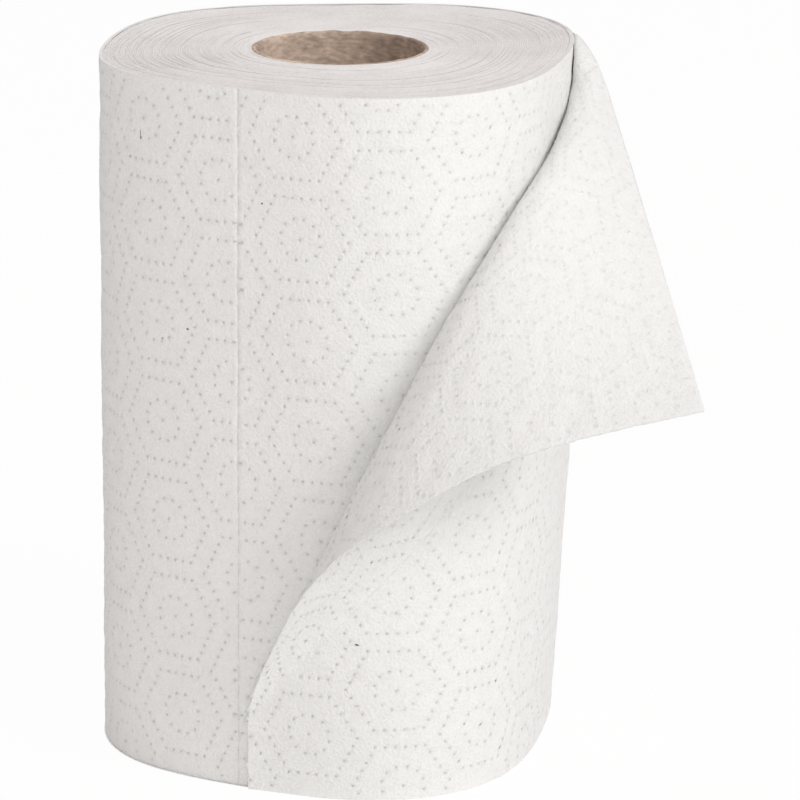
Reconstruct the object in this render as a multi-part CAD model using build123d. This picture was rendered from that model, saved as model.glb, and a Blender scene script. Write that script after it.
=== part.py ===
from build123d import *
import math
import os

# Paper towel roll standing on end. Its outer sheet ends in a torn edge, and the upper corner of
# that edge is peeled off the roll and folded back over a soft ridge.
# Millimetres. +Z up, origin on the axis of the core at its lower end. Angles around the roll are
# in degrees from the front (-Y) towards the right (+X).

# Cardboard core
core_diameter = 50.0
core_wall = 1.2
core_gap = 0.05

# Wound sheet
sheet_width = 200.0
sheet_thickness = 0.5
roll_radius = 69.0

# Hand-squeezed outline: how far each wave round the roll moves it in and out
squeeze_cos = (-0.3, 0.9, 1.75, -1.95, 0.75)
squeeze_sin = (1.0, -0.85, 2.5, 1.55, 0.55)

# Loose outer turns on the right: tight at the foot, slack above
slack_angle = 92.0
slack_depth = 3.75
slack_height = 84.0
slack_power = 1.15
belly_depth = 0.7
belly_height = 100.0
belly_spread = 44.0

# Peeled corner: where it leaves the roll, and the free part of the torn edge. The edge runs from
# the roll to the corner, in shares of its own length (right, back, up).
torn_edge_angle = -21.0
lift_height = 20.0
peel_angle = 104.0
torn_edge_path = (
    (0.004, -0.026, 0.042),
    (0.026, -0.051, 0.109),
    (0.080, -0.126, 0.237),
    (0.150, -0.193, 0.336),
    (0.248, -0.226, 0.413),
    (0.378, -0.232, 0.487),
    (0.526, -0.221, 0.531),
    (0.677, -0.204, 0.562),
)

# Ridge of the fold: where it meets the torn edge, and how it runs up to the rim
ridge_share = 0.338
ridge_straight = 0.365
ridge_power = 5.0
ridge_lift_power = 1.2
root_power = 1.378
corner_power = 1.354

# Top edge of the flap: its bow off the straight line, and how soon it takes that bow
top_edge_bow = (3.0, -0.9, 5.7)
top_edge_reach = 0.068

# Root of the peeled corner, sunk in the outer turns
root_share = 0.08
root_depth = 2.0
flap_lift = 0.6
ledge_cover = 1.5
foot_setback = 0.6
rim_setback = 0.3
apex_share = 0.12
apex_depth = 6.0
normal_step = 0.001

# Strips of the peeled sheet along the torn edge, narrow over the ridge, and the points of each
# line between two strips, from the rim down
root_strips = (0.0,)
ridge_strips = (0.11, 0.45, 15)
corner_strips = (0.5, 0.57, 0.66, 0.77, 0.88, 1.0)
rim_shares = (0.05, 0.09, 0.15, 0.24, 0.35, 0.48, 0.62, 0.76, 0.88, 1.0)

section_points = 24
section_heights = (0.0, 0.2, 0.42, 0.7, 1.0)
peel_floor_points = 13
peel_floor_reach = (0.5, 0.8, 1.1, 1.4)

# Spiral groove on the ends, for the turns of the sheet
turn_grooves = 4
groove_width = 0.35
groove_depth = 0.4
groove_margin = 3.0
groove_arcs = 8


def polar(radius, angle, height):
    turn = math.radians(angle)
    return Vector(radius * math.sin(turn), -radius * math.cos(turn), height)


def outline_radius(angle, height):
    turn = math.radians(angle)
    radius = roll_radius
    for wave, (c, s) in enumerate(zip(squeeze_cos, squeeze_sin), start=1):
        radius += c * math.cos(wave * turn) + s * math.sin(wave * turn)
    side = (0.5 * (1 + math.cos(math.radians(angle - slack_angle)))) ** 3
    foot = max(0.0, 1 - height / slack_height) ** slack_power
    belly = math.exp(-(((height - belly_height) / belly_spread) ** 2))
    return radius + side * (belly_depth * belly - slack_depth * foot)


def on_roll(angle, height, out=0.0):
    return polar(outline_radius(angle, height) + out, angle, height)


def smooth_step(x):
    x = min(max(x, 0.0), 1.0)
    return x * x * (3 - 2 * x)


# Core tube
core_bore_radius = core_diameter / 2 - core_wall
core = Cylinder(core_diameter / 2, sheet_width, align=(Align.CENTER, Align.CENTER, Align.MIN))
core -= Cylinder(core_bore_radius, sheet_width, align=(Align.CENTER, Align.CENTER, Align.MIN))


# Wound body: the outer turn starts one sheet proud at the torn edge and runs out to nothing
def outer_turn_section(height):
    points = []
    for i in range(section_points + 1):
        share = i / section_points
        angle = torn_edge_angle + 360 * share
        points.append(on_roll(angle, height, sheet_thickness * (1 - share)))
    return make_face([Spline(*points), Line(points[-1], points[0])])


def inner_turn_section(height):
    step = 360 / section_points
    points = [on_roll(torn_edge_angle + step * i, height) for i in range(section_points)]
    return make_face(Spline(*points, periodic=True))


heights = [share * sheet_width for share in section_heights]
body = loft([outer_turn_section(z) for z in heights])
inner_turns = loft([inner_turn_section(z) for z in heights])

# The outer turn is missing above the peel line, which climbs from the torn edge to the rim
peel_sweep = peel_angle - torn_edge_angle
peel_floor = []
for i in range(peel_floor_points):
    share = i / (peel_floor_points - 1)
    angle = torn_edge_angle + peel_sweep * share
    height = lift_height + ledge_cover + (sheet_width - lift_height) * share
    peel_floor.append([polar(reach * roll_radius, angle, height) for reach in peel_floor_reach])
peel_floor_face = Face.make_surface_from_array_of_points(peel_floor)
above_peel = extrude(peel_floor_face, amount=sheet_width, dir=(0, 0, 1))
body -= above_peel - inner_turns


# Turns of the sheet on both ends: a spiral groove that takes up the outline as it runs out
def turn_groove(level, depth):
    last = turn_grooves * groove_arcs * 2

    def at(i, out):
        share = i / last
        angle = torn_edge_angle + 360 * turn_grooves * share
        first_radius = core_diameter / 2 + groove_margin
        last_radius = outline_radius(angle, level) - groove_margin
        return polar(first_radius + (last_radius - first_radius) * share + out, angle, level)

    sides = [[at(i, out) for i in range(last + 1)] for out in (-groove_width / 2, groove_width / 2)]
    arcs = [ThreePointArc(*side[i : i + 3]) for side in sides for i in range(0, last, 2)]
    caps = [Line(sides[0][i], sides[1][i]) for i in (0, -1)]
    return extrude(make_face(arcs + caps), amount=groove_depth, dir=(0, 0, depth))


body -= turn_groove(sheet_width, -1)
body -= turn_groove(0.0, 1)

# Peeled corner
torn_foot = on_roll(torn_edge_angle + foot_setback, lift_height)
peel_top_height = sheet_width - rim_setback
peel_top = on_roll(peel_angle, peel_top_height)
free_edge_length = sheet_width - lift_height
edge_points = [torn_foot]
edge_points += [torn_foot + Vector(*share) * free_edge_length for share in torn_edge_path]
torn_edge = Edge.make_spline(edge_points)

ridge_foot = torn_edge.position_at(ridge_share)
ridge_angle = math.degrees(math.atan2(ridge_foot.X, -ridge_foot.Y))
ridge_lift = math.hypot(ridge_foot.X, ridge_foot.Y) - outline_radius(ridge_angle, ridge_foot.Z)


def peeled(lam, share):
    """Point of the peeled sheet: lam from the rim to the torn edge, share along that edge."""
    edge_point = torn_edge.position_at(share)
    root_angle = peel_angle - lam * (peel_sweep - foot_setback)
    root = on_roll(root_angle, peel_top_height - lam * (peel_top_height - lift_height))
    fade = ridge_straight * (1 - lam) + (1 - ridge_straight) * (1 - lam) ** ridge_power
    ridge = on_roll(
        ridge_angle + (peel_angle - ridge_angle) * fade,
        peel_top_height - lam * (peel_top_height - ridge_foot.Z),
        ridge_lift * lam**ridge_lift_power,
    )
    off_root = root - (peel_top + (torn_foot - peel_top) * lam)
    off_ridge = ridge - (peel_top + (ridge_foot - peel_top) * lam)
    off_corner = Vector(*top_edge_bow) * ((1 - math.exp(-lam / top_edge_reach)) * (1 - lam))
    corner_weight = max(0.0, (share - ridge_share) / (1 - ridge_share)) ** corner_power
    root_weight = 1 - smooth_step((share / ridge_share) ** root_power)
    ridge_weight = 1 - corner_weight - root_weight
    straight = peel_top + (edge_point - peel_top) * lam
    return straight + off_root * root_weight + off_ridge * ridge_weight + off_corner * corner_weight


def peeled_inner_face(lam, share):
    """The same, with its root and its apex sunk in the outer turns."""
    point = peeled(lam, share)
    sink = root_depth * max(0.0, 1 - share / root_share)
    sink -= flap_lift * smooth_step(share / root_share)
    sink += apex_depth * max(0.0, 1 - lam / apex_share) ** 2
    inward = Vector(-point.X, -point.Y, 0).normalized()
    return point + inward * sink


def peeled_outer_face(lam, share):
    """One sheet thickness further out, square to the inner face."""
    step = normal_step
    low, high = max(lam - step, 0.0), min(lam + step, 1.0)
    down = peeled_inner_face(high, share) - peeled_inner_face(low, share)
    low, high = max(share - step, 0.0), min(share + step, 1.0)
    along = peeled_inner_face(lam, high) - peeled_inner_face(lam, low)
    return peeled_inner_face(lam, share) + along.cross(down).normalized() * sheet_thickness


ridge_first, ridge_last, ridge_count = ridge_strips
ridge_shares = [ridge_first + (ridge_last - ridge_first) * i / (ridge_count - 1) for i in range(ridge_count)]
strip_shares = [*root_strips, *ridge_shares, *corner_strips]


def strip_lines(point):
    return [Edge.make_spline([point(lam, share) for lam in rim_shares]) for share in strip_shares]


def strips(lines, other_lines):
    return [Face.make_surface_from_curves(a, b) for a, b in zip(lines, other_lines)]


inner_lines = strip_lines(peeled_inner_face)
outer_lines = strip_lines(peeled_outer_face)
sheet_faces = strips(inner_lines, inner_lines[1:]) + strips(outer_lines, outer_lines[1:])
sheet_faces += strips((inner_lines[0], inner_lines[-1]), (outer_lines[0], outer_lines[-1]))
for end in (0, 1):
    inner_end, outer_end = (
        [Edge.make_line(a.position_at(end), b.position_at(end)) for a, b in zip(lines, lines[1:])]
        for lines in (inner_lines, outer_lines)
    )
    sheet_faces += strips(inner_end, outer_end)
flap = Solid(Shell(sheet_faces))

body -= Cylinder(core_diameter / 2 + core_gap, sheet_width, align=(Align.CENTER, Align.CENTER, Align.MIN))
roll = body + flap

core.label = "cardboard_core"
roll.label = "paper_roll"
print("paper_roll", len(roll.solids()), "solid, valid:", roll.is_valid)
os.makedirs("parts", exist_ok=True)
export_step(core, "parts/cardboard_core.step")
export_step(roll, "parts/paper_roll.step")
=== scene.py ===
import math

import bmesh
import bpy
import numpy as np
from mathutils import Matrix, Vector, kdtree


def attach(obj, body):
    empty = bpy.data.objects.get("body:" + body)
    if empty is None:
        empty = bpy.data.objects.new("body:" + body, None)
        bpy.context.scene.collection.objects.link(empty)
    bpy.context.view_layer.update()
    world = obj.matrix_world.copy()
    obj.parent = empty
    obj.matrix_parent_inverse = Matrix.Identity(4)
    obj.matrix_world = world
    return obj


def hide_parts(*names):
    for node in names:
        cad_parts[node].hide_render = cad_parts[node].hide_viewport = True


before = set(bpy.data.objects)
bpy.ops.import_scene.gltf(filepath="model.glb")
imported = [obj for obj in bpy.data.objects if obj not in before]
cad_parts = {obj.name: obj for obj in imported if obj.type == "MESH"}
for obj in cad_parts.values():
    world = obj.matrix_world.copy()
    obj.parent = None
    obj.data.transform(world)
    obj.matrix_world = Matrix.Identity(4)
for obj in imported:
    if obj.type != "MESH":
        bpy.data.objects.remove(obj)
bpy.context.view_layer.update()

MM = 0.001

# The roll. Lengths are in millimetres, and angles go from the front (-Y) towards the right (+X).
SHEET_WIDTH = 200.0
SHEET_THICKNESS = 0.5
SHEET_LENGTH = 214.8
PERFORATIONS = (SHEET_LENGTH, 2 * SHEET_LENGTH)
ROLL_RADIUS = 69.0
ONE_TURN = 2 * math.pi * ROLL_RADIUS
CORE_RADIUS = 25.0
CORE_WALL = 1.2
TORN_ANGLE = math.radians(-21.0)

# Hand-squeezed outline: cosine and sine of each wave round the roll
SQUEEZE = ((-0.3, 1.0), (0.9, -0.85), (1.75, 2.5), (-1.95, 1.55), (0.75, 0.55))

# Loose outer turns on the right: tight at the foot, slack above
SLACK_ANGLE = math.radians(92.0)
SLACK_DEPTH = 3.75
SLACK_HEIGHT = 84.0
SLACK_POWER = 1.15
BELLY_DEPTH = 0.7
BELLY_HEIGHT = 100.0
BELLY_SPREAD = 44.0

# Peeled corner: where it leaves the roll
LIFT_HEIGHT = 20.0
PEEL_TOP = SHEET_WIDTH
FREE_HEIGHT = PEEL_TOP - LIFT_HEIGHT
PEEL_ANGLE = math.radians(109.02)
PEEL_LENGTH = (PEEL_ANGLE - TORN_ANGLE) * ROLL_RADIUS

# Free part of its torn edge, from the roll to the corner: right, back and up, in shares of FREE_HEIGHT
TORN_PATH = (
    (0.004, -0.010, 0.0376),
    (0.026, -0.039, 0.1056),
    (0.080, -0.126, 0.237),
    (0.150, -0.193, 0.336),
    (0.248, -0.226, 0.413),
    (0.378, -0.232, 0.487),
    (0.526, -0.221, 0.531),
    (0.677, -0.204, 0.562),
)
TORN_PATH_STEPS = 30

# Ridge of its fold: where it meets the torn edge, how it runs round and up to the rim, how soon it lies
# down on the roll, and the waves in it, each with its place and size
RIDGE_SHARE = 0.297
RIDGE_STRAIGHT = 0.677
RIDGE_POWER = 3.844
RIDGE_SAG = -0.121
RIDGE_RISE = 59.98
RIDGE_LIFT_POWER = 4.5
RIDGE_WAVES = ((0.14, 0.108), (0.34, -0.042), (0.54, -0.022), (0.76, -0.004))
RIDGE_WAVE_WIDTH = 0.13
RIDGE_WAVE_ENDS = 8.0

# How soon the sheet turns from its root to the ridge, and from the ridge to its corner
ROOT_POWER = 2.385
CORNER_POWER = 1.474

# Top edge of the flap: its bow off the straight line, how soon it takes that bow, and its sag
TOP_BOW = np.array([5.0, 0.346, 2.337])
TOP_BOW_REACH = 0.07
TOP_SAG = np.array([-6.06, 0.0, -1.07])

# How far the flap stands off its form, the share where that starts, and the share next to the root that
# keeps the unevenness of the roll
FLAP_LIFT = 0.4
FLAP_LIFT_START = 0.02
ROOT_SHARE = 0.2


def outline_radius(angle, height):
    """Radius of the hand-squeezed roll."""
    radius = ROLL_RADIUS + 0 * angle
    for wave, (c, s) in enumerate(SQUEEZE, start=1):
        radius = radius + c * np.cos(wave * angle) + s * np.sin(wave * angle)
    side = (0.5 * (1 + np.cos(angle - SLACK_ANGLE))) ** 3
    foot = np.clip(1 - height / SLACK_HEIGHT, 0, None) ** SLACK_POWER
    belly = np.exp(-(((height - BELLY_HEIGHT) / BELLY_SPREAD) ** 2))
    return radius + side * (BELLY_DEPTH * belly - SLACK_DEPTH * foot)


def polar(radius, angle, height):
    return np.stack([radius * np.sin(angle), -radius * np.cos(angle), height + 0 * angle], -1)


def smooth_step(x):
    x = np.clip(x, 0, 1)
    return x * x * (3 - 2 * x)


def on_web(along, height, out):
    """Place on the wound web: along from the torn edge, height, and distance out of the surface."""
    angle = TORN_ANGLE + along / ROLL_RADIUS
    radius = outline_radius(angle, height) + SHEET_THICKNESS * (1 - along / ONE_TURN) + out
    return polar(radius, angle, height)


def torn_curve():
    """Free part of the torn edge, as points of a smooth curve and how far along it each one lies."""
    foot = on_web(np.array(0.0), np.array(LIFT_HEIGHT), -SHEET_THICKNESS)
    knots = np.array([(0, 0, 0), *TORN_PATH]) * FREE_HEIGHT + foot
    gaps = np.linalg.norm(np.diff(knots, axis=0), axis=1)
    reach = np.concatenate([[0], np.cumsum(gaps)])
    slopes = np.empty_like(knots)
    slopes[1:-1] = (knots[2:] - knots[:-2]) / (reach[2:] - reach[:-2])[:, None]
    slopes[0] = (0, 0, 1)
    slopes[-1] = (knots[-1] - knots[-2]) / gaps[-1]
    t = np.linspace(0, 1, TORN_PATH_STEPS, endpoint=False)[:, None]
    pieces = []
    for i, gap in enumerate(gaps):
        pieces.append(
            (2 * t**3 - 3 * t**2 + 1) * knots[i]
            + (t**3 - 2 * t**2 + t) * gap * slopes[i]
            + (-2 * t**3 + 3 * t**2) * knots[i + 1]
            + (t**3 - t**2) * gap * slopes[i + 1]
        )
    line = np.vstack(pieces + [knots[-1:]])
    length = np.concatenate([[0], np.cumsum(np.linalg.norm(np.diff(line, axis=0), axis=1))])
    return line, length / length[-1]


TORN_LINE, TORN_LENGTH = torn_curve()


def torn_point(share):
    return np.stack([np.interp(share, TORN_LENGTH, TORN_LINE[:, i]) for i in range(3)], -1)


def ridge_line(down, foot):
    """Ridge of the fold, down from the rim to its foot on the torn edge."""
    foot_angle = math.atan2(foot[0], -foot[1])
    foot_lift = math.hypot(foot[0], foot[1]) - outline_radius(foot_angle, foot[2])
    up = np.clip(1 - down, 0, 1)
    fade = RIDGE_STRAIGHT * up + (1 - RIDGE_STRAIGHT) * up**RIDGE_POWER + RIDGE_SAG * up * down
    ends = np.minimum(1, RIDGE_WAVE_ENDS * np.minimum(down, up))
    for place, size in RIDGE_WAVES:
        fade = fade + size * ends * np.exp(-(((down - place) / RIDGE_WAVE_WIDTH) ** 2))
    angle = foot_angle + (PEEL_ANGLE - foot_angle) * fade
    height = PEEL_TOP - down * (PEEL_TOP - foot[2]) + RIDGE_RISE * down * up
    return polar(outline_radius(angle, height) + foot_lift * down**RIDGE_LIFT_POWER, angle, height)


def peeled(down, share):
    """Peeled sheet: down from the rim to the torn edge, share along that edge from root to corner."""
    top = polar(outline_radius(PEEL_ANGLE, PEEL_TOP), np.array(PEEL_ANGLE), PEEL_TOP)
    up = np.clip(1 - down, 0, 1)
    root_angle = PEEL_ANGLE - down * (PEEL_ANGLE - TORN_ANGLE)
    root_height = PEEL_TOP - down * FREE_HEIGHT
    root = polar(outline_radius(root_angle, root_height), root_angle, root_height)
    off_root = root - (top + down[..., None] * (TORN_LINE[0] - top))
    ridge_foot = torn_point(np.array(RIDGE_SHARE))
    off_ridge = ridge_line(down, ridge_foot) - (top + down[..., None] * (ridge_foot - top))
    off_corner = ((1 - np.exp(-down / TOP_BOW_REACH)) * up)[..., None] * TOP_BOW
    off_corner = off_corner + (down * up**3)[..., None] * TOP_SAG
    corner_weight = np.clip((share - RIDGE_SHARE) / (1 - RIDGE_SHARE), 0, 1) ** CORNER_POWER
    root_weight = 1 - smooth_step(np.clip(share / RIDGE_SHARE, 0, 1) ** ROOT_POWER)
    ridge_weight = 1 - corner_weight - root_weight
    point = top + down[..., None] * (torn_point(share) - top)
    point = point + root_weight[..., None] * off_root + ridge_weight[..., None] * off_ridge
    point = point + corner_weight[..., None] * off_corner
    outward = point * np.array([1.0, 1.0, 0.0])
    outward = outward / np.linalg.norm(outward, axis=-1, keepdims=True)
    along = PEEL_LENGTH * up
    lift = SHEET_THICKNESS * (1 - along / ONE_TURN)
    lift = lift + FLAP_LIFT * down**2 * smooth_step((share - FLAP_LIFT_START) / ROOT_SHARE)
    lift = lift + (1 - smooth_step(share / ROOT_SHARE)) * unevenness(along, root_height)
    return point + outward * lift[..., None]


def peel_height(along):
    return LIFT_HEIGHT + FREE_HEIGHT * along / PEEL_LENGTH


# Embossing, in the flat of the sheet: cells of double dotted rows with a dotted ring in each
CELL = 28.3
FIRST_CELL = (-4.85, 4.2)
SLANT = 0.075
RING = 5.8
RING_DOTS = 12
ROW_INSET = 2.6
ROW_DOTS = 5
DOT_RIM_CLEARANCE = 1.8
DOT_PEEL_CLEARANCE = 1.0

# One dot: how deep it is, how wide its raised rim is, and how near the grid points lie that it takes
DOT_DEPTH = 0.5
DOT_REACH = 0.6
DOT_RIM = -0.2
# Painted shade at a dot's rim, as a share of the full painted shade at its centre
DOT_SHADE = 0.08
DOT_POINTS = 9
DOT_CATCH = 0.6
DOT_RIM_CATCH = 1.25


def cell_dots(centre):
    """One cell: its centre, the ring round it, and a row along each of its six sides."""
    dots = [centre]
    for k in range(RING_DOTS):
        turn = math.radians(360 / RING_DOTS * (k + 0.5))
        dots.append(centre + RING * np.array([math.cos(turn), math.sin(turn)]))
    inner = (CELL / 2 - ROW_INSET) / math.cos(math.radians(30))
    for side in range(6):
        a = math.radians(60 * side)
        b = math.radians(60 * side + 60)
        corner = centre + inner * np.array([math.cos(a), math.sin(a)])
        towards = centre + inner * np.array([math.cos(b), math.sin(b)])
        for k in range(ROW_DOTS):
            dots.append(corner + (towards - corner) * k / ROW_DOTS)
    return dots


def embossed_dots(start, end, clear_of_peel=False):
    """Dots between two distances along the web, clear of the rims, and of the peel line if asked."""
    column = CELL * math.cos(math.radians(30))
    dots = []
    # The slant moves cells along the web, so the grid of cells starts before and ends after the sheet
    for i in range(int(start // column) - 1, int(end // column) + 3):
        for j in range(-1, int(SHEET_WIDTH // CELL) + 3):
            dots += cell_dots(np.array([i * column, (j + 0.5 * (i % 2)) * CELL]) + FIRST_CELL)
    dots = np.array(dots)
    dots[:, 0] -= SLANT * dots[:, 1]
    keep = (dots[:, 0] > start) & (dots[:, 0] < end)
    keep &= (dots[:, 1] > DOT_RIM_CLEARANCE) & (dots[:, 1] < SHEET_WIDTH - DOT_RIM_CLEARANCE)
    if clear_of_peel:
        keep &= np.abs(dots[:, 1] - peel_height(dots[:, 0])) > DOT_PEEL_CLEARANCE
    return dots[keep]


def press_dots(flat, dots, fixed):
    """Draw grid points to each dot, one to its centre and a rim round it; give their depth and painted
    shade.
    """
    tree = kdtree.KDTree(len(flat))
    for i, (x, y) in enumerate(flat):
        tree.insert((x, y, 0), i)
    tree.balance()
    depth = np.zeros(len(flat))
    shade = np.zeros(len(flat))
    moved = flat.copy()
    for dot in dots:
        (_, middle, gap), *around = tree.find_n((*dot, 0), DOT_POINTS)
        if gap > DOT_CATCH or fixed[middle]:
            continue
        moved[middle] = dot
        depth[middle] = shade[middle] = 1.0
        for _, i, gap in around:
            if gap < DOT_RIM_CATCH and not fixed[i]:
                moved[i] = dot + (flat[i] - dot) * DOT_REACH / gap
                depth[i] = DOT_RIM
                shade[i] = DOT_SHADE
    return moved, depth, shade


rng = np.random.default_rng(7)


class SoftNoise:
    """Smooth unevenness in the flat of the web: a few waves of about one length, every way round."""

    def __init__(self, wavelength, waves):
        turn = rng.uniform(0, 2 * math.pi, waves)
        size = 2 * math.pi / (wavelength * rng.uniform(0.7, 1.6, waves))
        self.k = np.stack([np.cos(turn) * size, np.sin(turn) * size])
        self.phase = rng.uniform(0, 2 * math.pi, waves)

    def __call__(self, x, y):
        wave = x[..., None] * self.k[0] + y[..., None] * self.k[1] + self.phase
        return np.sin(wave).sum(-1) / math.sqrt(self.k.shape[1])


puckers = SoftNoise(9.0, 9)
slackness = SoftNoise(45.0, 7)
rag = SoftNoise(1.6, 9)

# Size of the puckers and of the slack, which starts away from the torn edge, and both less at the rims
PUCKER_SIZE = 0.08
WEB_SLACK = 0.20
WEB_SLACK_START = 60.0
RIM_BAND = 8.0
RIM_SHARE = 0.3

# The torn edge stands off the roll, and the web lies down on it again soon after
LOOSE_LIFT = 1.1
LOOSE_REACH = 5.5


def unevenness(along, height):
    """How far the wound sheet stands off its even place: puckers, slack and a loose torn edge."""
    from_rim = np.minimum(height, SHEET_WIDTH - height)
    inside = RIM_SHARE + (1 - RIM_SHARE) * smooth_step(from_rim / RIM_BAND)
    loose = LOOSE_LIFT * np.exp(-np.clip(along, 0, None) / LOOSE_REACH)
    slack = WEB_SLACK * slackness(along, height) * smooth_step(along / WEB_SLACK_START)
    return inside * (PUCKER_SIZE * puckers(along, height) + slack) + loose


# Meshes

# Side of a square in the flat grids
PITCH = 0.72


def flat_grid(width, height):
    """A flat grid in millimetres, with its corner at the origin."""
    bm = bmesh.new()
    columns = round(width / PITCH)
    rows = round(height / PITCH)
    bmesh.ops.create_grid(bm, x_segments=columns, y_segments=rows, size=0.5)
    bmesh.ops.scale(bm, vec=(width, height, 1), verts=bm.verts)
    bmesh.ops.translate(bm, vec=(width / 2, height / 2, 0), verts=bm.verts)
    return bm


def flat_points(bm):
    return np.array([v.co[:] for v in bm.verts])


def set_points(bm, points):
    """Move a mesh's points to places in millimetres."""
    for v, p in zip(bm.verts, points * MM):
        v.co = p


def mark_painted_hollow_shade(bm, shade):
    """Keep at each point how much painted shade the paper's material puts into its colour, for the
    hollows of dots and cuts.
    """
    layer = bm.verts.layers.float.new("painted_hollow_shade")
    for vert, value in zip(bm.verts, shade):
        vert[layer] = value


def face_towards(bm, directions):
    """Turn all the faces of an open sheet to the side that the directions at its points take."""
    bm.normal_update()
    if sum(float(np.dot(v.normal, d)) for v, d in zip(bm.verts, directions)) < 0:
        bmesh.ops.reverse_faces(bm, faces=bm.faces[:])


def new_mesh(bm, name):
    mesh = bpy.data.meshes.new(name)
    bm.to_mesh(mesh)
    bm.free()
    return mesh


def new_object(name, data):
    item = bpy.data.objects.new(name, data)
    bpy.context.scene.collection.objects.link(item)
    return item


def finish_piece(bm, name, material):
    mesh = new_mesh(bm, name)
    mesh.shade_smooth()
    mesh.materials.append(material)
    piece = new_object(name, mesh)
    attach(piece, "root")
    return piece


# Materials

PAPER_SPECULAR = 0.2


def principled(name, roughness):
    material = bpy.data.materials.new(name)
    material.use_nodes = True
    shader = material.node_tree.nodes["Principled BSDF"]
    shader.inputs["Roughness"].default_value = roughness
    shader.inputs["Specular IOR Level"].default_value = PAPER_SPECULAR
    return material, material.node_tree, shader


def noise_node(tree, coords, scale, detail, stretch=(1, 1, 1)):
    mapping = tree.nodes.new("ShaderNodeMapping")
    mapping.inputs["Scale"].default_value = stretch
    tree.links.new(coords, mapping.inputs["Vector"])
    noise = tree.nodes.new("ShaderNodeTexNoise")
    noise.inputs["Scale"].default_value = scale
    noise.inputs["Detail"].default_value = detail
    tree.links.new(mapping.outputs["Vector"], noise.inputs["Vector"])
    return noise.outputs["Fac"]


def colour_ramp(tree, factor, stops):
    ramp = tree.nodes.new("ShaderNodeValToRGB")
    elements = ramp.color_ramp.elements
    while len(elements) < len(stops):
        elements.new(0.5)
    for element, (position, colour) in zip(elements, stops):
        element.position = position
        element.color = (*colour, 1)
    tree.links.new(factor, ramp.inputs["Fac"])
    return ramp.outputs["Color"]


def weighted_sum(tree, parts):
    total = None
    for value, weight in parts:
        node = tree.nodes.new("ShaderNodeMath")
        node.operation = "MULTIPLY_ADD"
        node.inputs[1].default_value = weight
        node.inputs[2].default_value = 0.0
        tree.links.new(value, node.inputs[0])
        if total is not None:
            tree.links.new(total, node.inputs[2])
        total = node.outputs["Value"]
    return total


def bump_from(tree, height, strength, distance, normal=None):
    bump = tree.nodes.new("ShaderNodeBump")
    bump.inputs["Strength"].default_value = strength
    bump.inputs["Distance"].default_value = distance
    tree.links.new(height, bump.inputs["Height"])
    if normal is not None:
        tree.links.new(normal, bump.inputs["Normal"])
    return bump.outputs["Normal"]


def towel_paper_material():
    """White creped paper, with painted shade darkening its colour in the pressed dots and the
    perforation's cuts.
    """
    material, tree, shader = principled("towel_paper", roughness=0.95)
    coords = tree.nodes.new("ShaderNodeTexCoord").outputs["Object"]
    clouds = noise_node(tree, coords, scale=300.0, detail=4.0)
    crepe = noise_node(tree, coords, scale=1150.0, detail=3.0)
    fibres = noise_node(tree, coords, scale=3200.0, detail=2.0)
    shade = weighted_sum(tree, ((clouds, 0.4), (crepe, 0.6)))
    stops = ((0.36, (0.834, 0.832, 0.816)), (0.5, (0.873, 0.874, 0.861)), (0.64, (0.89, 0.891, 0.88)))
    # Painted shade: this attribute darkens the base colour in the dots and the perforation's cuts, where
    # shade falls in the hollows
    painted_hollow_shade = tree.nodes.new("ShaderNodeAttribute")
    painted_hollow_shade.attribute_name = "painted_hollow_shade"
    painted_hollow_shade_mix = tree.nodes.new("ShaderNodeMix")
    painted_hollow_shade_mix.data_type = "RGBA"
    painted_hollow_shade_mix.blend_type = "MULTIPLY"
    painted_hollow_shade_mix.inputs["B"].default_value = (0.79, 0.785, 0.78, 1)
    tree.links.new(painted_hollow_shade.outputs["Fac"], painted_hollow_shade_mix.inputs["Factor"])
    tree.links.new(colour_ramp(tree, shade, stops), painted_hollow_shade_mix.inputs["A"])
    tree.links.new(painted_hollow_shade_mix.outputs["Result"], shader.inputs["Base Color"])
    normal = bump_from(tree, crepe, strength=0.7, distance=0.0005)
    normal = bump_from(tree, fibres, strength=0.4, distance=0.0002, normal=normal)
    tree.links.new(normal, shader.inputs["Normal"])
    return material


def cut_edges_material():
    """Ends of the roll: the fuzzy cut edge of the paper, streaked along the turns by its UV."""
    material, tree, shader = principled("cut_edges", roughness=0.97)
    coords = tree.nodes.new("ShaderNodeTexCoord")
    streaks = noise_node(tree, coords.outputs["UV"], scale=1.0, detail=3.0, stretch=(0.6, 1.0, 1.0))
    fuzz = noise_node(tree, coords.outputs["Object"], scale=1700.0, detail=3.0)
    patches = noise_node(tree, coords.outputs["Object"], scale=60.0, detail=3.0)
    grain = weighted_sum(tree, ((streaks, 0.4), (fuzz, 0.4), (patches, 0.2)))
    stops = ((0.36, (0.76, 0.735, 0.715)), (0.5, (0.895, 0.875, 0.86)), (0.62, (0.96, 0.95, 0.94)))
    tree.links.new(colour_ramp(tree, grain, stops), shader.inputs["Base Color"])
    tree.links.new(bump_from(tree, grain, strength=0.5, distance=0.0005), shader.inputs["Normal"])
    return material


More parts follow.
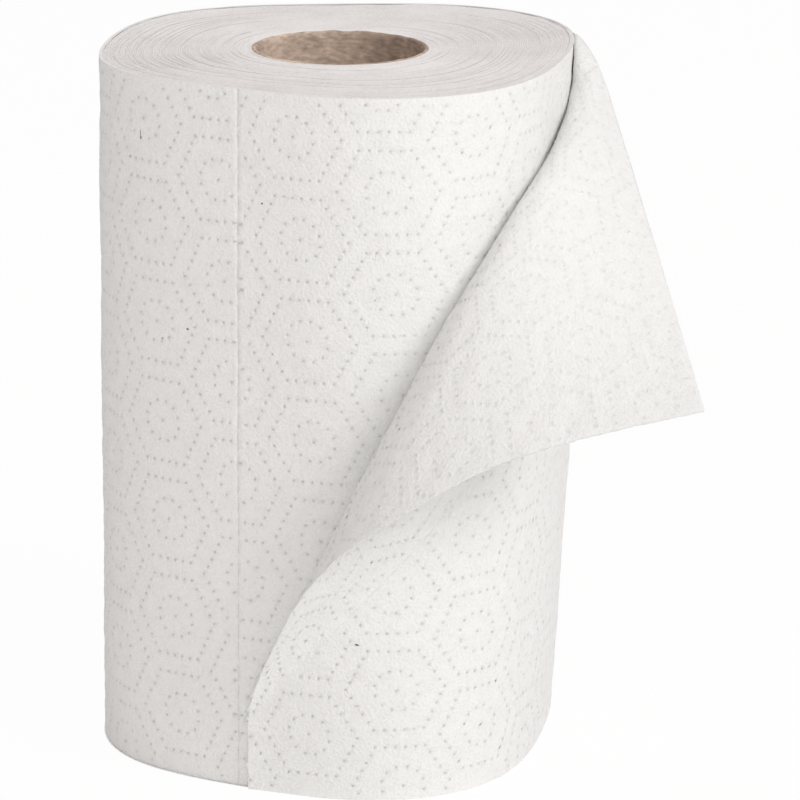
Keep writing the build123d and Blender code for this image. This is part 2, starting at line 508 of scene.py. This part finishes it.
def core_board_material():
    """Grey-brown cardboard with blotches, and painted light that makes it paler towards the left and
    darker towards the right.
    """
    material, tree, shader = principled("core_board", roughness=0.88)
    coords = tree.nodes.new("ShaderNodeTexCoord").outputs["Object"]
    fibres = noise_node(tree, coords, scale=420.0, detail=6.0, stretch=(1.0, 1.0, 2.4))
    blotches = noise_node(tree, coords, scale=45.0, detail=5.0, stretch=(1.0, 1.0, 0.6))
    place = tree.nodes.new("ShaderNodeSeparateXYZ")
    tree.links.new(coords, place.inputs["Vector"])
    # The term in X paints light and shade across the bore: paler on the left, darker on the right
    stain_and_painted_light = weighted_sum(tree, ((fibres, 0.35), (blotches, 1.0), (place.outputs["X"], -3.5)))
    stops = ((0.53, (0.27, 0.20, 0.155)), (0.675, (0.47, 0.37, 0.30)), (0.8, (0.74, 0.59, 0.48)))
    tree.links.new(colour_ramp(tree, stain_and_painted_light, stops), shader.inputs["Base Color"])
    tree.links.new(bump_from(tree, fibres, strength=0.5, distance=0.0003), shader.inputs["Normal"])
    return material


def speck_material(name, colour):
    """A fibre that was left unbleached."""
    material, tree, shader = principled(name, roughness=0.9)
    coords = tree.nodes.new("ShaderNodeTexCoord").outputs["Object"]
    grain = noise_node(tree, coords, scale=3000.0, detail=2.0)
    darker = tuple(0.7 * c for c in colour)
    tree.links.new(colour_ramp(tree, grain, ((0.3, darker), (0.7, colour))), shader.inputs["Base Color"])
    return material


towel_paper = towel_paper_material()
cut_edges = cut_edges_material()
core_board = core_board_material()

# Sheets wound on the roll

# Perforation: cuts with threads of paper between them. Its depth rises from THREAD_LEVEL at each thread,
# by SLIT_SLOPE for a whole pitch, and counts from none at 0 to a full cut at 1.
PERFORATION_PITCH = 6.1
THREAD_LEVEL = -0.7
SLIT_SLOPE = 12
SLIT_WIDTH = 0.34
SLIT_DEPTH = 0.22
# Painted shade in the cuts: darker colour where the paper is cut through
SLIT_SHADE = 0.8
LINE_TOLERANCE = 0.05

# Hems turned in at the rims and at the torn edge, so that the paper shows its thickness there
HEM = 0.9
TORN_HEM = 0.35
HEM_DROP = 0.1
EDGE_TOLERANCE = 0.01

# Torn edge: fuzz, tabs where threads held, and the height and length of each loose fibre
TORN_FUZZ = 0.12
TORN_TABS = 0.14
FIBRE_WIDTH = 0.45
LOOSE_FIBRES = (
    (7.2, 0.8),
    (21.6, 1.9),
    (24.5, 1.1),
    (29.5, 1.7),
    (33.1, 1.0),
    (37.4, 1.8),
    (41.7, 1.1),
    (46.8, 0.8),
)

# How far the sheet below runs on under the outer one, past the peel line
OVERLAP = 3.0


def on_slit(height):
    """1 along a perforation's cuts, 0 at the threads of paper between them."""
    place = (height / PERFORATION_PITCH) % 1.0
    return np.clip(np.minimum(place, 1 - place) * SLIT_SLOPE + THREAD_LEVEL, 0, 1)


def perforated_points(flat):
    """Grid points on a perforation, those beside it, and the side of a cut that these go to."""
    on_line = np.isin(np.round(flat[:, 0], 3), np.round(PERFORATIONS, 3))
    beside = np.zeros(len(flat), dtype=bool)
    slit_side = np.zeros(len(flat))
    for line in PERFORATIONS:
        gap = flat[:, 0] - line
        close = (np.abs(gap) > LINE_TOLERANCE) & (np.abs(gap) < 1.2 * PITCH)
        beside |= close
        slit_side = slit_side + close * (line + np.sign(gap) * SLIT_WIDTH / 2)
    return on_line, beside, slit_side


def cut_along(bm, line, start, keep_above):
    """Cut a flat sheet along a line and drop one side of it. Where the upper side is kept, the sheet
    stays whole left of the line's start."""
    first, last = (Vector((x - start, y, 0)) for x, y in line)
    across = Vector((first.y - last.y, last.x - first.x, 0))
    geom = bm.verts[:] + bm.edges[:] + bm.faces[:]
    bmesh.ops.bisect_plane(bm, geom=geom, dist=0.0001, plane_co=first, plane_no=across)
    lost = []
    for face in bm.faces:
        middle = face.calc_center_median()
        above = across.dot(middle - first) > 0
        if above != keep_above and (middle.x > first.x or not keep_above):
            lost.append(face)
    bmesh.ops.delete(bm, geom=lost, context="FACES")


def torn_rag(along, height):
    """How far points of the torn edge lie off its even line: fuzz, tabs and loose fibres."""
    tabs = TORN_FUZZ * rag(height, height * 0.3) - TORN_TABS * (1 - on_slit(height))
    for place, length in LOOSE_FIBRES:
        tabs = tabs - length * np.exp(-(((height - place) / FIBRE_WIDTH) ** 2))
    return (along < EDGE_TOLERANCE) * tabs


def shows_thickness(edge, start):
    """Whether an edge of a flat sheet lies on a rim of the roll or on the torn edge."""
    ends = [vert.co for vert in edge.verts]
    lower = all(co.y < EDGE_TOLERANCE for co in ends)
    upper = all(co.y > SHEET_WIDTH - EDGE_TOLERANCE for co in ends)
    return lower or upper or (start == 0 and all(co.x < EDGE_TOLERANCE for co in ends))


def add_hems(bm, start):
    """Widen the sheet past the edges that show their thickness; give the source of each point, and
    which points are a hem's."""
    place = bm.verts.layers.int.new("place")
    for i, vert in enumerate(bm.verts):
        vert[place] = i
    turned_in = {}
    for edge in [edge for edge in bm.edges if edge.is_boundary and shows_thickness(edge, start)]:
        edge.smooth = False
        for vert in edge.verts:
            if vert not in turned_in:
                turned_in[vert] = bm.verts.new(vert.co)
                turned_in[vert][place] = vert[place]
        a, b = edge.verts
        bm.faces.new((b, a, turned_in[a], turned_in[b]))
    hem_verts = set(turned_in.values())
    source = np.array([vert[place] for vert in bm.verts])
    hem = np.array([vert in hem_verts for vert in bm.verts])
    bm.verts.layers.int.remove(place)
    return source, hem


def wound_sheet(name, start, end, low=None, high=None):
    """One sheet of the web as it lies on the roll, kept above the line low or below the line high."""
    bm = flat_grid(end - start, SHEET_WIDTH)
    if low is not None:
        cut_along(bm, low, start, keep_above=True)
    if high is not None:
        cut_along(bm, high, start, keep_above=False)
    flat = flat_points(bm)[:, :2] + (start, 0)
    on_line, beside, slit_side = perforated_points(flat)
    fixed = [vert.is_boundary for vert in bm.verts]
    dots = embossed_dots(start, end, clear_of_peel=high is not None)
    flat, depth, shade = press_dots(flat, dots, fixed)
    flat[:, 0] = np.where(beside, slit_side, flat[:, 0])
    slit = on_line * on_slit(flat[:, 1])
    depth = np.where(on_line | beside, slit * SLIT_DEPTH / DOT_DEPTH, depth)
    # Painted shade along the cuts, none at the threads
    shade = np.where(on_line | beside, SLIT_SHADE * slit, shade)
    source, hem = add_hems(bm, start)
    along, height = flat[source, 0], flat[source, 1]
    hem_depth = hem * np.where(along < EDGE_TOLERANCE, TORN_HEM, HEM)
    out = unevenness(along, height) - DOT_DEPTH * depth[source] - hem_depth
    along = along + torn_rag(along, height)
    height = height - hem * HEM_DROP * (height > SHEET_WIDTH / 2)
    points = on_web(along, height, out)
    set_points(bm, points)
    # Painted shade for the material, none on the hems
    mark_painted_hollow_shade(bm, shade[source] * (1 - hem))
    bmesh.ops.recalc_face_normals(bm, faces=bm.faces[:])
    face_towards(bm, points * (1, 1, 0))
    piece = finish_piece(bm, name, towel_paper)
    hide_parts("paper_roll")


PEEL_LINE = ((0.0, LIFT_HEIGHT), (PEEL_LENGTH, PEEL_TOP))
UNDER_LINE = (
    (ONE_TURN + OVERLAP, LIFT_HEIGHT - OVERLAP),
    (ONE_TURN + PEEL_LENGTH + OVERLAP, PEEL_TOP - OVERLAP),
)
wound_sheet("outer_sheet", 0.0, SHEET_LENGTH, high=PEEL_LINE)
wound_sheet("second_sheet", SHEET_LENGTH, 2 * SHEET_LENGTH)
wound_sheet("third_sheet", 2 * SHEET_LENGTH, ONE_TURN + PEEL_LENGTH + 2 * OVERLAP, low=UNDER_LINE)


# Peeled corner of the outer sheet

FLAP_THICKNESS = 0.35

# Dots start a little beyond the torn edge, because its rag reaches out there
DOTS_START = -1.0

# The dots are softer and their painted shade lighter away from the root, and the relief ends before the
# apex at the rim
DOT_SOFTENING = 0.3
SOFTENING_SHARE = 0.4
ROOT_SHADE = 0.8
SHADE_LOSS = 0.48
SHADE_SHARE = 0.3
APEX_SHARE = 0.1
LEAST_DOWN = 0.0005
NORMAL_STEP = 0.001
NORMAL_LEAST_DOWN = 0.0002


def flap_normals(down, share):
    """Outward normals of the peeled sheet, from small steps along it both ways."""
    before, after = np.maximum(down - NORMAL_STEP, NORMAL_LEAST_DOWN), down + NORMAL_STEP
    inner, outer = np.maximum(share - NORMAL_STEP, 0.0), np.minimum(share + NORMAL_STEP, 1.0)
    turned = np.cross(
        peeled(after, share) - peeled(before, share),
        peeled(down, outer) - peeled(down, inner),
    )
    return -turned / np.maximum(np.linalg.norm(turned, axis=-1, keepdims=True), 1e-9)


def peeled_corner():
    bm = flat_grid(SHEET_LENGTH, SHEET_WIDTH)
    cut_along(bm, PEEL_LINE, 0.0, keep_above=True)
    flat = flat_points(bm)[:, :2]
    fixed = [vert.is_boundary for vert in bm.verts]
    dots = embossed_dots(DOTS_START, PEEL_LENGTH, clear_of_peel=True)
    flat, depth, shade = press_dots(flat, dots, fixed)
    along, height = flat[:, 0], flat[:, 1]
    down = np.clip(1 - along / PEEL_LENGTH, LEAST_DOWN, 1)
    share = np.clip(1 - (PEEL_TOP - height) / (down * FREE_HEIGHT), 0, 1)
    down = down - torn_rag(along, height) / PEEL_LENGTH
    normals = flap_normals(down, share)
    relief = PUCKER_SIZE * puckers(along, height) * smooth_step(share / ROOT_SHARE)
    softened = 1 - DOT_SOFTENING * smooth_step(share / SOFTENING_SHARE)
    relief = (relief - DOT_DEPTH * depth * softened) * smooth_step(down / APEX_SHARE)
    # Painted shade of the dots, lighter on the flap than at the root
    mark_painted_hollow_shade(bm, shade * (ROOT_SHADE - SHADE_LOSS * smooth_step(share / SHADE_SHARE)))
    set_points(bm, peeled(down, share) + normals * relief[:, None])
    face_towards(bm, normals)
    piece = finish_piece(bm, "peeled_corner", towel_paper)
    thickness = piece.modifiers.new("sheet_thickness", "SOLIDIFY")
    thickness.thickness = FLAP_THICKNESS * MM
    thickness.offset = -1.0
    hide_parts("paper_roll")


peeled_corner()


# Ends of the roll: the edge of the web, turn by turn, as one spiral

TURNS = 89
TURN_SEGMENTS = 160
GRAIN_LENGTH = 6.0

# Turns crowd and gape, in shares of their pitch, and stand unevenly below the rim with a groove between
CROWDING = 0.3
TURN_STEP = 0.06
END_SUNK = 0.25
END_WAVES = 0.05
END_GROOVE = 0.1


def wound_edge(name, level, upward, last_turn):
    """Edge of the web at one end of the roll, as a spiral strip from the core out to the last turn."""
    bm = bmesh.new()
    bmesh.ops.create_grid(bm, x_segments=int(last_turn * TURN_SEGMENTS), y_segments=2, size=0.5)
    grid = flat_points(bm)[:, :2] + 0.5
    turn = grid[:, 0] * last_turn
    angle = TORN_ANGLE + 2 * math.pi * (turn - TURNS)
    crowding = rng.uniform(-CROWDING, CROWDING, TURNS + 2)
    turn_steps = rng.uniform(-TURN_STEP, TURN_STEP, TURNS + 2)
    row = turn + grid[:, 1]
    which = row.astype(int)
    part = row - which
    reach = row + crowding[which] * (1 - part) + crowding[np.minimum(which + 1, TURNS + 1)] * part
    reach = np.where(row > TURNS - 0.5, row, reach)
    outer = outline_radius(angle, level) + SHEET_THICKNESS
    radius = CORE_RADIUS + np.clip((reach - 1) / TURNS, 0, 1) * (outer - CORE_RADIUS)
    x, y = radius * np.sin(angle), -radius * np.cos(angle)
    sunk = END_SUNK + np.interp(turn, np.arange(TURNS + 2), turn_steps)
    sunk = sunk + END_WAVES * slackness(x, y) + END_WAVES * puckers(x * 0.8, y * 0.8)
    in_groove = np.abs(grid[:, 1] - 0.5) > 0.1
    sunk = sunk + np.where(in_groove, END_GROOVE, 0.0)
    sunk = sunk * smooth_step((TURNS - 0.3 - turn) / 2)
    height = level - sunk if upward else level + sunk
    points = polar(radius, angle, height)
    set_points(bm, points)
    face_towards(bm, points * 0 + (0, 0, 1 if upward else -1))
    grain = bm.loops.layers.uv.new("grain")
    bm.verts.index_update()
    for face in bm.faces:
        for loop in face.loops:
            i = loop.vert.index
            loop[grain].uv = (radius[i] * (angle[i] + 2 * math.pi * TURNS) / GRAIN_LENGTH, row[i])
    piece = finish_piece(bm, name, cut_edges)
    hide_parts("paper_roll")


wound_edge("upper_end", SHEET_WIDTH, True, TURNS - PEEL_LENGTH / ONE_TURN)
wound_edge("lower_end", 0.0, False, TURNS)


# Cardboard core

CORE_SEGMENTS = 200
BORE_ROWS = 110

# Bevels of the rims, outside and in the bore
CORE_BEVEL = 0.3
BORE_BEVEL = 0.35
BORE_LIP = 0.4

# Spiral seam of the inmost ply, grain of the board, and wear of the upper rim
PLY_PITCH = 62.0
PLY_STEP = 0.30
WALL_GRAIN = 0.03
RIM_WEAR = 0.12


def core_tube():
    """The tube as one closed profile turned round: bore, upper rim, outside and lower rim."""
    bore = CORE_RADIUS - CORE_WALL
    wall = [(bore, z, 1.0) for z in np.linspace(BORE_LIP, SHEET_WIDTH - BORE_LIP, BORE_ROWS)]
    rim = [
        (bore + BORE_BEVEL, SHEET_WIDTH, 0.0),
        (CORE_RADIUS - CORE_BEVEL, SHEET_WIDTH, 0.0),
        (CORE_RADIUS, SHEET_WIDTH - CORE_BEVEL, 0.0),
    ]
    outside = [(CORE_RADIUS, z, 0.0) for z in (150.0, 100.0, 50.0, CORE_BEVEL)]
    foot = [(CORE_RADIUS - CORE_BEVEL, 0.0, 0.0), (bore + BORE_BEVEL, 0.0, 0.0), (bore, BORE_LIP, 1.0)]
    profile = np.array(wall + rim + outside + foot)
    bm = bmesh.new()
    bmesh.ops.create_grid(bm, x_segments=CORE_SEGMENTS, y_segments=len(profile) - 1, size=0.5)
    grid = flat_points(bm)[:, :2] + 0.5
    row = np.round(grid[:, 1] * (len(profile) - 1)).astype(int)
    radius, height, in_bore = profile[row].T
    angle = 2 * math.pi * grid[:, 0]
    x, y = np.cos(angle), np.sin(angle)
    ply = (height / PLY_PITCH + grid[:, 0]) % 1.0
    ply_step = PLY_STEP * np.clip(1 - ply * 3, 0, 1) * smooth_step(ply * 60)
    grain = WALL_GRAIN * puckers(60 * x + height, 60 * y) * smooth_step((height - 5) / 5)
    radius = radius - in_bore * ply_step + in_bore * grain
    worn = RIM_WEAR * (1 + puckers(40 * x, 40 * y)) * (height > SHEET_WIDTH - 1)
    set_points(bm, polar(radius, angle, np.clip(height - worn, 0, SHEET_WIDTH)))
    bmesh.ops.remove_doubles(bm, verts=bm.verts[:], dist=0.00001)
    bmesh.ops.recalc_face_normals(bm, faces=bm.faces[:])
    piece = finish_piece(bm, "core_tube", core_board)
    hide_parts("cardboard_core")


core_tube()


# Specks of unbleached fibre caught in the paper

SPECK_THICKNESS = 0.12
SPECK_PROUD = 0.02


def speck(name, angle, height, size, material, tilt=0.0):
    """A flat grain on the outermost sheet; angle and tilt in degrees, size as half width and height."""
    angle = math.radians(angle)
    along = (angle - TORN_ANGLE) * ROLL_RADIUS
    if along < 0 or height > peel_height(along):
        along += ONE_TURN
    along, height = np.array(along), np.array(height)
    place = Vector(on_web(along, height, SPECK_PROUD + unevenness(along, height)).tolist()) * MM
    bm = bmesh.new()
    bmesh.ops.create_icosphere(bm, subdivisions=2, radius=1.0)
    shape = Matrix.Diagonal((size[0] * MM, SPECK_THICKNESS * MM, size[1] * MM, 1))
    turned = Matrix.Rotation(angle, 4, "Z") @ Matrix.Rotation(math.radians(tilt), 4, "Y")
    bmesh.ops.transform(bm, matrix=Matrix.Translation(place) @ turned @ shape, verts=bm.verts)
    piece = finish_piece(bm, name, material)
    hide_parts("paper_roll")


grey_fibre = speck_material("grey_fibre", (0.30, 0.29, 0.28))
dark_fibre = speck_material("dark_fibre", (0.13, 0.12, 0.11))
speck("speck_grey", -38.3, 130.7, (0.42, 0.34), grey_fibre)
speck("speck_pale", -45.5, 126.8, (0.34, 0.3), grey_fibre)
speck("speck_dash", 5.1, 45.8, (0.75, 0.22), dark_fibre, tilt=15.0)
speck("speck_line", -51.8, 183.4, (0.16, 1.5), grey_fibre)
speck("speck_dot", -17.8, 168.9, (0.28, 0.26), dark_fibre)


# Camera of the photo, fitted to the rims and the sides of the roll. Its focal length is in pixels of the
# photo, and its place in metres.

PHOTO_WIDTH = 800
FOCAL_PIXELS = 4674.6
SENSOR_WIDTH = 36.0
CAMERA_PITCH = math.radians(15.441)
CAMERA_ROLL = math.radians(0.458)
CAMERA_PLACE = Vector((0.01769, -1.3004, 0.4557))


def photo_camera():
    forward = Vector((0, math.cos(CAMERA_PITCH), -math.sin(CAMERA_PITCH)))
    level = Vector((1, 0, 0))
    upright = level.cross(forward)
    right = math.cos(CAMERA_ROLL) * level + math.sin(CAMERA_ROLL) * upright
    up = -math.sin(CAMERA_ROLL) * level + math.cos(CAMERA_ROLL) * upright
    data = bpy.data.cameras.new("photo_camera")
    data.sensor_width = SENSOR_WIDTH
    data.lens = FOCAL_PIXELS / PHOTO_WIDTH * SENSOR_WIDTH
    data.clip_end = 20.0
    camera = new_object("photo_camera", data)
    turned = Matrix((right, up, -forward)).transposed()
    camera.matrix_world = Matrix.Translation(CAMERA_PLACE) @ turned.to_4x4()
    bpy.context.scene.camera = camera


photo_camera()


# Floor and light, in metres and watts

FLOOR_SIZE = 6.0
FLOOR_GREY = 0.96
FLOOR_GLOW = 0.95
LAMP_AIM = Vector((0, 0, 0.1))


def white_floor():
    """A matt floor that the camera sees as nearly plain white, with what is left of the roll's shadow."""
    bm = bmesh.new()
    bmesh.ops.create_grid(bm, x_segments=1, y_segments=1, size=FLOOR_SIZE)
    mesh = new_mesh(bm, "floor")
    floor = new_object("floor", mesh)
    material = bpy.data.materials.new("floor_white")
    material.use_nodes = True
    tree = material.node_tree
    tree.nodes.clear()
    output = tree.nodes.new("ShaderNodeOutputMaterial")
    matt = tree.nodes.new("ShaderNodeBsdfDiffuse")
    matt.inputs["Color"].default_value = (FLOOR_GREY, FLOOR_GREY, FLOOR_GREY, 1)
    glow = tree.nodes.new("ShaderNodeEmission")
    glow.inputs["Strength"].default_value = 1.0
    path = tree.nodes.new("ShaderNodeLightPath")
    seen = tree.nodes.new("ShaderNodeMath")
    seen.operation = "MAXIMUM"
    tree.links.new(path.outputs["Is Camera Ray"], seen.inputs[0])
    tree.links.new(path.outputs["Is Glossy Ray"], seen.inputs[1])
    part = tree.nodes.new("ShaderNodeMath")
    part.operation = "MULTIPLY"
    part.inputs[1].default_value = FLOOR_GLOW
    tree.links.new(seen.outputs["Value"], part.inputs[0])
    mix = tree.nodes.new("ShaderNodeMixShader")
    tree.links.new(part.outputs["Value"], mix.inputs["Fac"])
    tree.links.new(matt.outputs["BSDF"], mix.inputs[1])
    tree.links.new(glow.outputs["Emission"], mix.inputs[2])
    tree.links.new(mix.outputs["Shader"], output.inputs["Surface"])
    mesh.materials.append(material)


def soft_lamp(name, place, size, power, colour):
    data = bpy.data.lights.new(name, "AREA")
    data.shape = "DISK"
    data.size = size
    data.energy = power
    data.color = colour
    lamp = new_object(name, data)
    lamp.location = place
    lamp.rotation_euler = (LAMP_AIM - Vector(place)).to_track_quat("-Z", "Y").to_euler()


def white_world():
    """Plain white to the camera, and a slightly warm fill light for everything else."""
    world = bpy.data.worlds.new("studio")
    bpy.context.scene.world = world
    world.use_nodes = True
    tree = world.node_tree
    tree.nodes.clear()
    output = tree.nodes.new("ShaderNodeOutputWorld")
    fill = tree.nodes.new("ShaderNodeBackground")
    fill.inputs["Color"].default_value = (1.0, 0.95, 0.942, 1)
    fill.inputs["Strength"].default_value = 0.56
    seen = tree.nodes.new("ShaderNodeBackground")
    seen.inputs["Color"].default_value = (1, 1, 1, 1)
    path = tree.nodes.new("ShaderNodeLightPath")
    mix = tree.nodes.new("ShaderNodeMixShader")
    tree.links.new(path.outputs["Is Camera Ray"], mix.inputs["Fac"])
    tree.links.new(fill.outputs["Background"], mix.inputs[1])
    tree.links.new(seen.outputs["Background"], mix.inputs[2])
    tree.links.new(mix.outputs["Shader"], output.inputs["Surface"])


white_floor()
white_world()
soft_lamp("key_light", (1.65, -1.05, 1.3), size=0.9, power=17.0, colour=(0.99, 1.0, 1.0))
soft_lamp("front_light", (-0.1, -2.2, 1.15), size=1.2, power=10.6, colour=(1.0, 1.0, 0.985))
soft_lamp("top_light", (0.1, 1.0, 2.0), size=1.0, power=4.0, colour=(1.0, 1.0, 1.0))

bpy.context.scene.view_settings.view_transform = "Standard"
